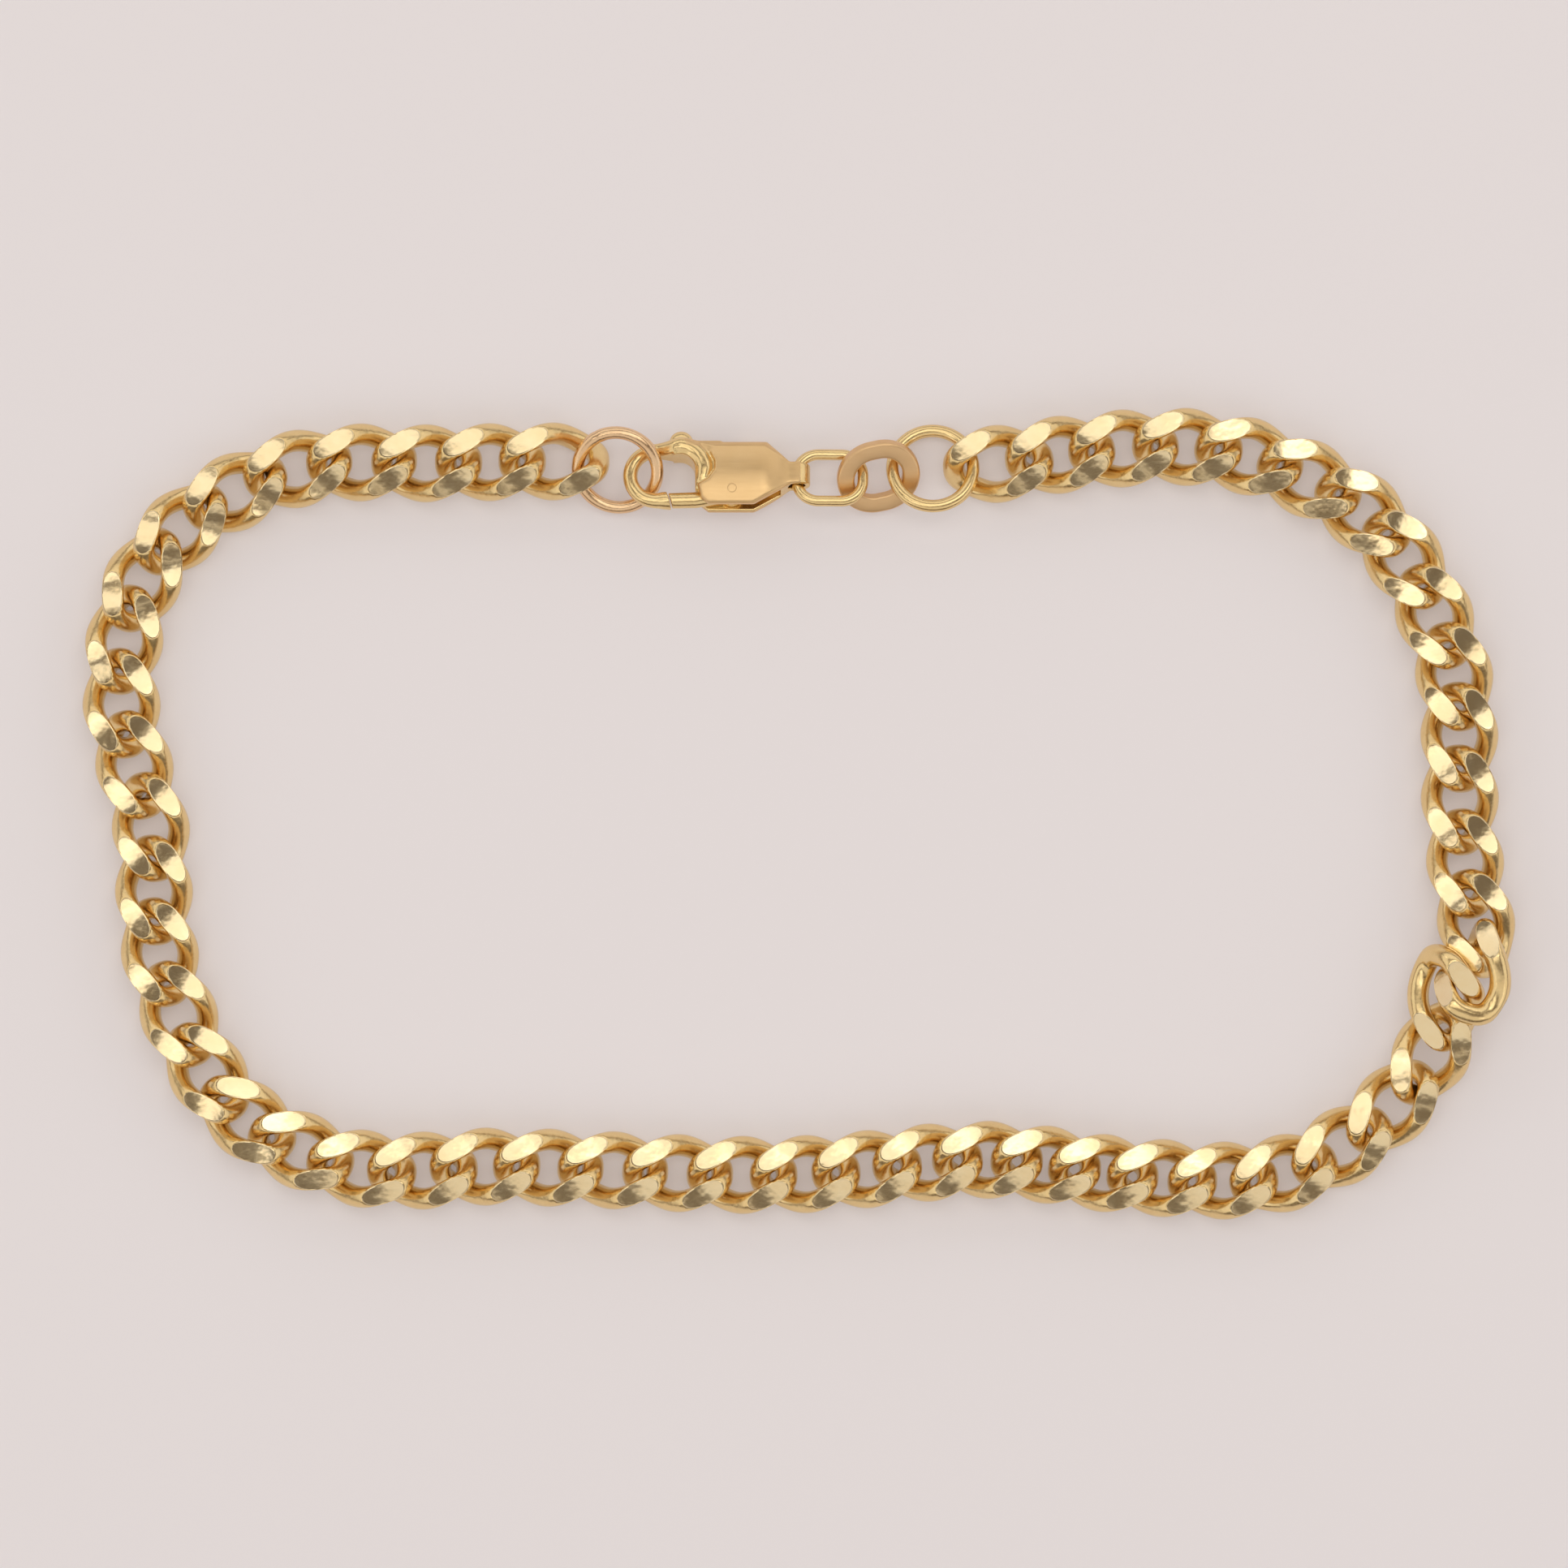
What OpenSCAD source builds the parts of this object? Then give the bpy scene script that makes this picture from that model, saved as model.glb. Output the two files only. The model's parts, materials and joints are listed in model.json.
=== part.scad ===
// Gold curb bracelet lying flat in a loop: a chain of 53 twisted links with filed flats,
// a swivelling lever clasp and the rings that join them.

/* [Chain] */
// Diameter of the wire that a link is bent from
link_wire = 1.1; // [0.9:0.02:1.12]
// Width of a link across the chain, over the wire
link_width = 4.3; // [4.2:0.05:4.45]
// Length of a link along the chain, over the wire
link_length = 6.08; // [6.04:0.02:6.16]
// Turn of each end of a link out of flat, in degrees
link_twist = 45; // [43:1:50]
// Thickness of the chain between the flats filed on its two faces
chain_thickness = 2.2; // [2.1:0.05:2.24]

/* [Jump rings] */
// Diameter of the wire of the two round jump rings
jump_wire = 0.7; // [0.6:0.05:0.75]
// Outer diameter of the jump ring that the claw holds
left_jump_d = 5.1; // [4.9:0.05:5.4]
// Outer diameter of the jump ring at the other end of the chain
right_jump_d = 5.15; // [4.9:0.05:5.4]
// Roll of the left jump ring about the line of the fastening, in degrees
left_jump_roll = 23; // [21:1:25]
// Roll of the right jump ring about the line of the fastening, in degrees
right_jump_roll = -20; // [-24:1:-16]

/* [Clasp] */
// Length of the clasp from the bend of its claw to the end of its eye
clasp_length = 10.3; // [9.9:0.1:10.8]
// Width of the clasp's body
body_width = 3.7; // [3.5:0.1:3.9]
// Thickness of the clasp's body along its middle
body_thickness = 2.3; // [2.2:0.05:2.4]
// Thickness of the body at its two long edges
edge_thickness = 1.8; // [1.7:0.05:1.9]
// Diameter of the claw's wire
claw_wire = 0.8; // [0.7:0.05:0.85]
// Length of the mouth from the bend of the claw to the body
mouth_length = 3.2; // [3.1:0.05:3.5]
// Roll of the clasp about its own length, in degrees
clasp_roll = -18; // [-19:1:-16]
// Play between the left jump ring and the bend of the claw
claw_play = 0.75; // [0.5:0.05:0.9]

/* [Clasp lever] */
// Thickness of the lever
lever_thickness = 0.8; // [0.6:0.05:0.85]
// Width of the lever's gate, which closes the mouth
gate_width = 0.7; // [0.6:0.05:0.75]
// Width of the stem that carries the thumb knob
stem_width = 0.55; // [0.5:0.05:0.6]
// Radius of the thumb knob
knob_radius = 0.62; // [0.55:0.01:0.65]
// Diameter of the pin that the lever turns on
pin_d = 0.5; // [0.4:0.05:0.55]
// Radius of the lever's hub round the pin
hub_radius = 0.62; // [0.55:0.01:0.65]

/* [Tail ring and connector] */
// Diameter of the wire of the oval tail ring
tail_wire = 0.6; // [0.5:0.05:0.65]
// Outer length of the tail ring
tail_length = 4.25; // [4.2:0.05:4.5]
// Outer width of the tail ring
tail_width = 3.3; // [3.2:0.05:3.6]
// Width of the flat metal of the connector link, seen from its face
connector_face = 0.9; // [0.8:0.05:0.95]
// Thickness of the connector link's metal
connector_thick = 0.65; // [0.55:0.05:0.7]
// Outer length of the connector link
connector_length = 4.5; // [4.45:0.05:4.8]
// Outer width of the connector link
connector_width = 4.1; // [4:0.05:4.3]
// Roll of the connector link about its own length, in degrees
connector_roll = 30; // [29:1:33]

/* [Fits] */
// Play between a ring and the link or ring that it hangs in, as they lie
ring_play = 0.2; // [0.15:0.01:0.25]
// Clearance of the pin in the clasp's two cheeks, all round
pin_clearance = 0.03; // [0.02:0.01:0.05]
// Clearance of the lever's bore round the pin, all round
hub_clearance = 0.05; // [0.03:0.01:0.07]
// Clearance of the lever between the cheeks, each side
cheek_clearance = 0.1; // [0.06:0.01:0.12]
// Clearance of the lever from the walls of its pocket
pocket_clearance = 0.12; // [0.08:0.01:0.15]
// Gap between the tip of the gate and the tip of the claw
gate_gap = 0.08; // [0.06:0.01:0.15]
// Clearance of the tail ring's wire in the clasp's eye, all round
eye_clearance = 0.17; // [0.15:0.01:0.2]

/* [Hidden] */

GOLD = [0.85, 0.67, 0.36];
ROSE_GOLD = [0.88, 0.64, 0.42];
SATIN_GOLD = [0.75, 0.6, 0.36];
ROUND_SIDES = 48;

// Columns of the routes and of the table of poses
X = 0;
Y = 1;
Z = 2;
LINKS = 2;
HEADING = 3;
TILT = 4;
ROLL = 5;

// The chain's route as it lies: x and y of a link's centre, and the links from there to
// the next row. The left run goes from the left jump ring down the left side and along
// the front, the right run up the right side to the right jump ring.
LEFT_ROUTE = [
    [-13.6, 19.4, 2], [-20.6, 19.3, 2], [-27.7, 19.0, 2], [-34.1, 15.7, 1],
    [-36.2, 12.9, 2], [-37.4, 6.1, 2], [-35.8, -0.7, 2], [-35.3, -7.6, 3],
    [-30.5, -16.8, 2], [-24.2, -19.5, 2], [-17.4, -19.4, 5], [0.3, -19.8, 3],
    [10.4, -19.0, 3], [20.0, -20.0, 2], [26.7, -19.75, 1], [29.9, -18.3, 1],
    [32.65, -16.1, 0]];
RIGHT_ROUTE = [
    [36.7, -2.7, 1], [36.4, 0.8, 2], [36.1, 7.6, 3], [31.1, 16.6, 2],
    [24.8, 19.7, 3], [14.4, 19.8, 1], [11.0, 19.3, 0]];
// The four links at the kink, where two have turned over and stand up:
// x, y, z, heading, tilt of the leading end and roll
KINK = [
    [34.8, -13.2, 1.38, 62, 6, -1],
    [35.6, -10.05, 1.9, 97, 21, -6],
    [37.15, -8.65, 2.37, 77, -22, -37],
    [37.3, -6.0, 1.25, 104, -2, 0]];
// Heading of the links at the two ends of the chain
FIRST_HEADING = 179;
LAST_HEADING = 185;
// Links in the left chain: the rest are the right chain's
LEFT_LINKS = 27;

// Bearings from each piece of the fastening to the next, going right
LEFT_JUMP_BEARING = -23;
CONNECTOR_BEARING = 8;
CHAIN_END_BEARING = 2;
// Headings of the two rings that don't lie square to the row
LEFT_JUMP_HEADING = -6.8;
CONNECTOR_HEADING = 9;
// How far across the row each of these lies from the piece on its left
CLASP_DROP = 0.34;
TAIL_SLIP = -0.09;
CONNECTOR_RISE = 0.1;
// How far the middle of the left jump ring lies below the middle of the clasp
LEFT_JUMP_DROP = 0.09;
// How far the right ends of the left jump ring and the tail ring are lifted, in degrees
LEFT_JUMP_LIFT = 3.7;
TAIL_LIFT = -1;

// Curb link

// How square the oval of a link is: 2 is an ellipse
LINK_SQUARENESS = 2.5;
LINK_SECTIONS = 16;
WIRE_SIDES = 6;
TANGENT_STEP = 2;
link_reach = (link_length - link_wire) / 2;
link_half = (link_width - link_wire) / 2;

function unit(v) = v / norm(v);
function signed_power(v, p) = sign(v) * pow(abs(v), p);
function link_centre(t) =
    let(x = link_reach * signed_power(cos(t), 2 / LINK_SQUARENESS),
        y = link_half * signed_power(sin(t), 2 / LINK_SQUARENESS),
        turn = -link_twist * sin(90 * x / link_reach))
    [x, y * cos(turn), y * sin(turn)];
function filed(p) =
    [p[X], p[Y], max(-chain_thickness / 2, min(chain_thickness / 2, p[Z]))];
LINK_POINTS = [
    for (i = [0:LINK_SECTIONS - 1])
        let(t = (i + 0.5) * 360 / LINK_SECTIONS,
            along = unit(link_centre(t + TANGENT_STEP) - link_centre(t - TANGENT_STEP)),
            up = unit([0, 0, 1] - along[Z] * along),
            side = cross(along, up))
        for (j = [0:WIRE_SIDES - 1])
            let(a = j * 360 / WIRE_SIDES)
            filed(link_centre(t) + link_wire / 2 * (cos(a) * side + sin(a) * up))];
function corner(i, j) = (i % LINK_SECTIONS) * WIRE_SIDES + j % WIRE_SIDES;
LINK_FACES = [
    for (i = [0:LINK_SECTIONS - 1])
        for (j = [0:WIRE_SIDES - 1])
            for (face = [[corner(i, j), corner(i + 1, j + 1), corner(i + 1, j)],
                         [corner(i, j), corner(i, j + 1), corner(i + 1, j + 1)]])
                face];

function posed(p, pose) =
    let(rolled = [p[X], p[Y] * cos(pose[ROLL]) - p[Z] * sin(pose[ROLL]),
                  p[Y] * sin(pose[ROLL]) + p[Z] * cos(pose[ROLL])],
        tilted = [rolled[X] * cos(pose[TILT]) - rolled[Z] * sin(pose[TILT]), rolled[Y],
                  rolled[X] * sin(pose[TILT]) + rolled[Z] * cos(pose[TILT])])
    [pose[X] + tilted[X] * cos(pose[HEADING]) - tilted[Y] * sin(pose[HEADING]),
     pose[Y] + tilted[X] * sin(pose[HEADING]) + tilted[Y] * cos(pose[HEADING]),
     pose[Z] + tilted[Z]];

// Fastening, laid out from the first link to the right jump ring

function ahead(from, bearing, distance) = from + distance * [cos(bearing), sin(bearing)];
first_link = [LEFT_ROUTE[0][X], LEFT_ROUTE[0][Y]];
first_tip = ahead(first_link, FIRST_HEADING - 180, link_reach);
left_jump_reach = (left_jump_d - jump_wire) / 2;
right_jump_reach = (right_jump_d - jump_wire) / 2;
left_jump_at = ahead(first_tip, LEFT_JUMP_BEARING,
                     left_jump_reach - (link_wire + jump_wire) / 2 - ring_play);

body_half = body_width / 2;
// Both faces of the body are crowned: each is part of a long cylinder that meets the
// thickness along the middle and at the edges, and the lower one lies on the floor
crown_drop = (body_thickness - edge_thickness) / 2;
crown_radius = (body_half * body_half + crown_drop * crown_drop) / (2 * crown_drop);
function crown_fall(y) = crown_radius - sqrt(crown_radius * crown_radius - y * y);
contact = min(body_half, -crown_radius * sin(clasp_roll));
clasp_height = (body_thickness / 2 - crown_fall(contact)) * cos(clasp_roll)
    - contact * sin(clasp_roll);
left_jump_height = max(clasp_height - LEFT_JUMP_DROP,
                       left_jump_reach * sin(left_jump_roll) + jump_wire / 2);
clasp_at = left_jump_at
    + [left_jump_reach - jump_wire / 2 - claw_play - claw_wire, -CLASP_DROP];

eye_radius = tail_wire / 2 + eye_clearance;
EYE_WALL = 0.28;
eye_along = clasp_length - eye_radius - EYE_WALL;

tail_reach = (tail_length - tail_wire) / 2;
tail_half = (tail_width - tail_wire) / 2;
connector_reach = (connector_length - connector_face) / 2;
connector_half = (connector_width - connector_face) / 2;
connector_height = connector_width / 2 * sin(connector_roll)
    + connector_thick / 2 * cos(connector_roll);
right_jump_height = (connector_height + chain_thickness / 2) / 2;

tail_end = clasp_at + [eye_along + 2 * tail_reach, TAIL_SLIP];
connector_at = tail_end
    + [connector_reach - (tail_wire + connector_face) / 2 - ring_play, CONNECTOR_RISE];
right_jump_at = ahead(connector_at, CONNECTOR_BEARING,
                      connector_reach + right_jump_reach
                      - (connector_face + jump_wire) / 2 - ring_play);
last_tip = ahead(right_jump_at, CHAIN_END_BEARING,
                 right_jump_reach - (link_wire + jump_wire) / 2 - ring_play);
last_link = ahead(last_tip, LAST_HEADING - 180, link_reach);

// The links of the front take up what a change of the fastening's length asks
route_end = [RIGHT_ROUTE[len(RIGHT_ROUTE) - 1][X], RIGHT_ROUTE[len(RIGHT_ROUTE) - 1][Y]];
route_change = last_link - route_end;
function share(x) =
    max(0, min(1, (x - first_link[X]) / (route_end[X] - first_link[X])));
function laid(p) = [p[X] + route_change[X] * share(p[X]), p[Y] + route_change[Y] * share(p[X])];

// Chain

function row_at(route, i) = laid(route[i]);
function row_speed(route, i) = (row_at(route, i + 1) - row_at(route, i)) / route[i][LINKS];
function row_tangent(route, i) =
    i == 0 ? row_speed(route, 0)
    : i == len(route) - 1 ? row_speed(route, i - 1)
    : (row_speed(route, i - 1) * route[i][LINKS] + row_speed(route, i) * route[i - 1][LINKS])
        / (route[i][LINKS] + route[i - 1][LINKS]);
function between(route, i, u) =
    let(n = route[i][LINKS], v = 1 - u)
    v * v * (1 + 2 * u) * row_at(route, i) + u * v * v * n * row_tangent(route, i)
    + u * u * (3 - 2 * u) * row_at(route, i + 1) - u * u * v * n * row_tangent(route, i + 1);
function route_places(route) = [
    for (i = [0:len(route) - 2])
        for (k = [0:route[i][LINKS] - 1])
            between(route, i, k / route[i][LINKS]),
    row_at(route, len(route) - 1)];
LEFT_PLACES = route_places(LEFT_ROUTE);
RIGHT_PLACES = route_places(RIGHT_ROUTE);
KINK_PLACES = [for (pose = KINK) laid(pose)];
PLACES = concat(LEFT_PLACES, KINK_PLACES, RIGHT_PLACES);
LINK_COUNT = len(PLACES);
function heading(i) =
    i == 0 ? FIRST_HEADING
    : i == LINK_COUNT - 1 ? LAST_HEADING
    : let(d = PLACES[i + 1] - PLACES[i - 1]) atan2(d[Y], d[X]);
function pose_of(i) =
    let(k = i - len(LEFT_PLACES))
    k >= 0 && k < len(KINK)
    ? [PLACES[i][X], PLACES[i][Y], KINK[k][Z], KINK[k][HEADING], KINK[k][TILT], KINK[k][ROLL]]
    : [PLACES[i][X], PLACES[i][Y], chain_thickness / 2, heading(i), 0, 0];

module links(first, last) {
    per_link = len(LINK_POINTS);
    polyhedron(
        points = [for (i = [first:last]) for (p = LINK_POINTS) posed(p, pose_of(i))],
        faces = [for (i = [first:last]) for (f = LINK_FACES)
                     [for (c = f) c + (i - first) * per_link]]);
}

module left_chain() {
    color(GOLD) links(0, LEFT_LINKS - 1);
}

module right_chain() {
    color(GOLD) links(LEFT_LINKS, LINK_COUNT - 1);
}

// Rings

module ring(reach, wire) {
    rotate_extrude($fn = ROUND_SIDES) translate([reach, 0]) circle(d = wire, $fn = ROUND_SIDES);
}

module bent_wire(reach, wire, angle) {
    rotate_extrude(angle = angle, $fn = ROUND_SIDES)
        translate([reach, 0]) circle(d = wire, $fn = ROUND_SIDES);
}

module left_jump_ring() {
    color(ROSE_GOLD)
        translate([left_jump_at[X], left_jump_at[Y], left_jump_height])
        rotate([0, -LEFT_JUMP_LIFT, LEFT_JUMP_HEADING])
        rotate([left_jump_roll, 0, 0])
        ring(left_jump_reach, jump_wire);
}

module right_jump_ring() {
    color(GOLD)
        translate([right_jump_at[X], right_jump_at[Y], right_jump_height])
        rotate([right_jump_roll, 0, 0])
        ring(right_jump_reach, jump_wire);
}

// Corner radius of the tail ring, to the middle of its wire
TAIL_CORNER = 0.9;

module tail_ring() {
    straight_x = tail_reach - TAIL_CORNER;
    straight_y = tail_half - TAIL_CORNER;
    color(GOLD)
        translate([clasp_at[X], clasp_at[Y], clasp_height])
        rotate([clasp_roll, 0, 0])
        translate([eye_along, 0, 0])
        rotate([0, -TAIL_LIFT, 0])
        translate([tail_reach, TAIL_SLIP, 0])
        for (turn = [0, 180]) rotate(turn) {
            translate([straight_x, straight_y, 0]) bent_wire(TAIL_CORNER, tail_wire, 90);
            translate([straight_x, -straight_y, 0])
                rotate(-90) bent_wire(TAIL_CORNER, tail_wire, 90);
            translate([tail_reach, 0, 0]) rotate([90, 0, 0])
                cylinder(d = tail_wire, h = 2 * straight_y, center = true, $fn = ROUND_SIDES);
            translate([0, tail_half, 0]) rotate([0, 90, 0])
                cylinder(d = tail_wire, h = 2 * straight_x, center = true, $fn = ROUND_SIDES);
        }
}

// Bevel along the edges of the connector's flat metal
CONNECTOR_BEVEL = 0.15;

module connector_section() {
    f = connector_face / 2;
    t = connector_thick / 2;
    b = CONNECTOR_BEVEL;
    polygon([[f, t - b], [f - b, t], [b - f, t], [-f, t - b],
             [-f, b - t], [b - f, -t], [f - b, -t], [f, b - t]]);
}

module connector_link() {
    straight = connector_reach - connector_half;
    color(SATIN_GOLD)
        translate([connector_at[X], connector_at[Y], connector_height])
        rotate(CONNECTOR_HEADING)
        rotate([connector_roll, 0, 0])
        for (turn = [0, 180]) rotate(turn) {
            translate([straight, 0, 0]) rotate(-90)
                rotate_extrude(angle = 180, $fn = ROUND_SIDES)
                translate([connector_half, 0]) connector_section();
            translate([0, connector_half, 0]) rotate([90, 0, 90])
                linear_extrude(2 * straight, center = true) connector_section();
        }
}

// Clasp: x runs from the bend of the claw to the eye, z is its thickness

claw_half = body_half - claw_wire / 2;
bend_along = claw_wire / 2 + claw_half;
body_along = claw_wire + mouth_length;
// The claw's tip and the gate's tip are both cut on this slant
TIP_SLANT = 0.22;
claw_tip_along = 2.42;
gate_tip_along = claw_tip_along + gate_gap;
// The claw's arm behind the knob runs a little way into the body's root
ROOT_ALONG = 2.25;
ROOT_WIDTH = 0.85;
ARM_OVERLAP = 0.1;
// The shoulder starts further back on the side of the knob than on the side of the pin
knob_shoulder = 0.78 * clasp_length;
pin_shoulder = 0.69 * clasp_length;
shoulder_along = (knob_shoulder + pin_shoulder) / 2;
neck_along = 0.9 * clasp_length;
NECK_HALF = 0.6;
NECK_THICKNESS = 1.3;
// Inner corner of the mouth beside the root of the claw
MOUTH_CORNER = 0.75;
CORNER_STEP = 15;

// Middles of the lever's pin, elbow and knob, and the angle that the lever swings
PIN_ALONG = 6;
PIN_INSET = 0.8;
KNOB_ALONG = 3.2;
KNOB_OVER = 0.08;
pin_at = [PIN_ALONG, PIN_INSET - body_half];
knob_at = [KNOB_ALONG, body_half + KNOB_OVER];
ELBOW = [5.2, 0.95];
SWING = 20;
function swung(p) = pin_at + [[cos(SWING), sin(SWING)], [-sin(SWING), cos(SWING)]] * (p - pin_at);

// Wall between the mouth and the lever's pocket, and the height above the pin up to which
// it is cut away for the gate
WEB = 0.4;
GATE_ROOM = 1;
// The pocket runs on behind the pin as an open slot as far as this
chamber_along = 0.84 * clasp_length;

module clasp_place() {
    translate([clasp_at[X], clasp_at[Y], clasp_height]) rotate([clasp_roll, 0, 0]) children();
}

module bar(from, to, width) {
    d = to - from;
    translate(from) rotate(atan2(d[Y], d[X])) translate([0, -width / 2]) square([norm(d), width]);
}

module body_outline() {
    corner_at = [body_along, body_half - ROOT_WIDTH] - MOUTH_CORNER * [1, 1];
    polygon(concat(
        [[ROOT_ALONG, body_half], [knob_shoulder, body_half],
         [neck_along, NECK_HALF], [eye_along, NECK_HALF],
         [eye_along, -NECK_HALF], [neck_along, -NECK_HALF],
         [pin_shoulder, -body_half], [body_along, -body_half]],
        [for (a = [0:CORNER_STEP:90]) corner_at + MOUTH_CORNER * [cos(a), sin(a)]],
        [[ROOT_ALONG, body_half - ROOT_WIDTH]]));
}

// The faces taper from the shoulder to the neck, and the slope is drawn on up past them
module body_side() {
    neck = NECK_THICKNESS / 2;
    slope = (neck_along - shoulder_along) / (body_thickness / 2 - neck);
    high = body_thickness;
    high_at = neck_along - slope * (high - neck);
    polygon([[0, high], [high_at, high], [neck_along, neck], [clasp_length, neck],
             [clasp_length, -neck], [neck_along, -neck], [high_at, -high], [0, -high]]);
}

module crown(face) {
    translate([0, 0, face * (body_thickness / 2 - crown_radius)]) rotate([0, 90, 0])
        cylinder(r = crown_radius, h = clasp_length, $fn = 2 * ROUND_SIDES);
}

// The pocket is open below for the gate and above for the stem, and its wall leans back for
// the swung elbow
module pocket_outline() {
    edge = 1.5 * body_half;
    half_stem = stem_width / 2 + pocket_clearance;
    right = pin_at[X] + hub_radius + pocket_clearance;
    elbow = swung(ELBOW);
    web_right = body_along + WEB;
    web_low = pin_at[Y] + GATE_ROOM;
    knob_left = knob_at[X] - knob_radius - pocket_clearance;
    knob_low = knob_at[Y] - knob_radius - pocket_clearance;
    polygon([[body_along - WEB, -edge], [chamber_along, -edge], [chamber_along, -NECK_HALF],
             [right, -NECK_HALF], [right, pin_at[Y] + hub_radius],
             [elbow[X] + half_stem, elbow[Y] + half_stem], [elbow[X], edge], [knob_left, edge],
             [knob_left, knob_low], [knob_at[X], knob_low], [web_right, ELBOW[Y] - half_stem / 2],
             [web_right, web_low], [body_along - WEB, web_low]]);
}

module claw() {
    translate([bend_along, 0, 0]) rotate(90) bent_wire(claw_half, claw_wire, 180);
    translate([bend_along, claw_half, 0]) rotate([0, 90, 0])
        cylinder(d = claw_wire, h = ROOT_ALONG + ARM_OVERLAP - bend_along, $fn = ROUND_SIDES);
    intersection() {
        translate([bend_along, -claw_half, 0]) rotate([0, 90, 0])
            cylinder(d = claw_wire, h = claw_tip_along + 2 * TIP_SLANT - bend_along,
                     $fn = ROUND_SIDES);
        linear_extrude(2 * claw_wire, center = true)
            polygon([[0, claw_wire], [claw_tip_along - TIP_SLANT, claw_wire],
                     [claw_tip_along - TIP_SLANT, 1.5 * claw_wire - claw_half],
                     [claw_tip_along + 2 * TIP_SLANT, -1.5 * claw_wire - claw_half],
                     [0, -1.5 * claw_wire - claw_half]]);
    }
}

module clasp_body() {
    slot = lever_thickness + 2 * cheek_clearance;
    color(SATIN_GOLD) clasp_place() difference() {
        union() {
            intersection() {
                linear_extrude(2 * body_thickness, center = true) body_outline();
                translate([0, body_width, 0]) rotate([90, 0, 0])
                    linear_extrude(2 * body_width) body_side();
                crown(1);
                crown(-1);
            }
            translate([eye_along, 0, 0]) rotate([90, 0, 0])
                cylinder(r = eye_radius + EYE_WALL, h = 2 * NECK_HALF, center = true,
                         $fn = ROUND_SIDES);
            claw();
        }
        linear_extrude(slot, center = true) pocket_outline();
        translate(pin_at)
            cylinder(d = pin_d + 2 * pin_clearance, h = 2 * body_thickness, center = true,
                     $fn = ROUND_SIDES);
        translate([eye_along, 0, 0]) rotate([90, 0, 0])
            cylinder(r = eye_radius, h = 4 * NECK_HALF, center = true, $fn = ROUND_SIDES);
    }
}

module lever_outline() {
    top = gate_width / 2 - claw_half;
    low = -gate_width / 2 - claw_half;
    polygon([[gate_tip_along, top], [gate_tip_along + TIP_SLANT, low],
             pin_at - [0, hub_radius], pin_at + [0, hub_radius / 2]]);
    translate(pin_at) circle(r = hub_radius, $fn = ROUND_SIDES);
    bar(pin_at, ELBOW, stem_width);
    translate(ELBOW) circle(d = stem_width, $fn = ROUND_SIDES);
    bar(ELBOW, knob_at, stem_width);
    translate(knob_at) circle(r = knob_radius, $fn = ROUND_SIDES);
}

module clasp_lever() {
    color(GOLD) clasp_place()
        difference() {
            linear_extrude(lever_thickness, center = true) lever_outline();
            translate(pin_at)
                cylinder(d = pin_d + 2 * hub_clearance, h = 2 * lever_thickness,
                         center = true, $fn = ROUND_SIDES);
        }
}

module lever_pin() {
    color(GOLD) clasp_place()
        translate(pin_at)
        cylinder(d = pin_d, h = body_thickness - 2 * crown_fall(pin_at[Y]), center = true,
                 $fn = ROUND_SIDES);
}

left_chain();
right_chain();
left_jump_ring();
clasp_body();
clasp_lever();
lever_pin();
tail_ring();
connector_link();
right_jump_ring();
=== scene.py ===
import json
import math

import bmesh
import bpy
import numpy as np
from mathutils import Matrix, Vector


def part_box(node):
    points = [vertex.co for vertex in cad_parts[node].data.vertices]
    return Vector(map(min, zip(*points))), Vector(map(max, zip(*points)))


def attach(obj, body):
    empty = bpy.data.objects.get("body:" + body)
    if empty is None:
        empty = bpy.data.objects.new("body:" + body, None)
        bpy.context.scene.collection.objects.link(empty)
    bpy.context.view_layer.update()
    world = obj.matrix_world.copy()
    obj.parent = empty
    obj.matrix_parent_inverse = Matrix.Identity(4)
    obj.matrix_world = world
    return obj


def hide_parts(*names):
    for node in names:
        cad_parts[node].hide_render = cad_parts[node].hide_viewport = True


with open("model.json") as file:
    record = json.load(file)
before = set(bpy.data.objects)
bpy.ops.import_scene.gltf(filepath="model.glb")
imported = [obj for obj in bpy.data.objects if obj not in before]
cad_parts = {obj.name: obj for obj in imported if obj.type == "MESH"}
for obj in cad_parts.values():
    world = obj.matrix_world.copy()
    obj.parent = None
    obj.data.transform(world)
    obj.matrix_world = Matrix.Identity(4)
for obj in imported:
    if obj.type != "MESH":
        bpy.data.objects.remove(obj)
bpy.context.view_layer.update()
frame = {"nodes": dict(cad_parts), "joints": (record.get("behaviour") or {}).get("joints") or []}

# The chain
# Curb links of round gold wire, each bent to a squared oval, twisted so that it nests in its
# neighbours and soldered shut. The closed chain is then cut with a diamond tool on both faces,
# which leaves two bright flats on each face of every link.
MM = 0.001
link_wire = 1.2 * MM
wire_height = 1.2 * MM
link_width = 4.3 * MM
link_length = 6.12 * MM
link_twist = math.radians(50)
link_squareness = 2.7
link_sections = 96
wire_sides = 20
link_sway = math.radians(0.5)
flat_height = 1.1 * MM
flat_lean = math.radians(10)
flat_rim = 0.05 * MM
flat_turn = math.radians(35)


def link_middle(t):
    """Middle of a link's wire at the angle t round the link."""
    def signed_power(v):
        """Cosine or sine drawn out from an ellipse's towards a rectangle's."""
        return math.copysign(abs(v) ** (2 / link_squareness), v)
    reach = (link_length - link_wire) / 2
    x = reach * signed_power(math.cos(t))
    y = (link_width - link_wire) / 2 * signed_power(math.sin(t))
    turn = -link_twist * math.sin(math.pi / 2 * x / reach)
    return Vector((x, y * math.cos(turn), y * math.sin(turn)))


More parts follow.
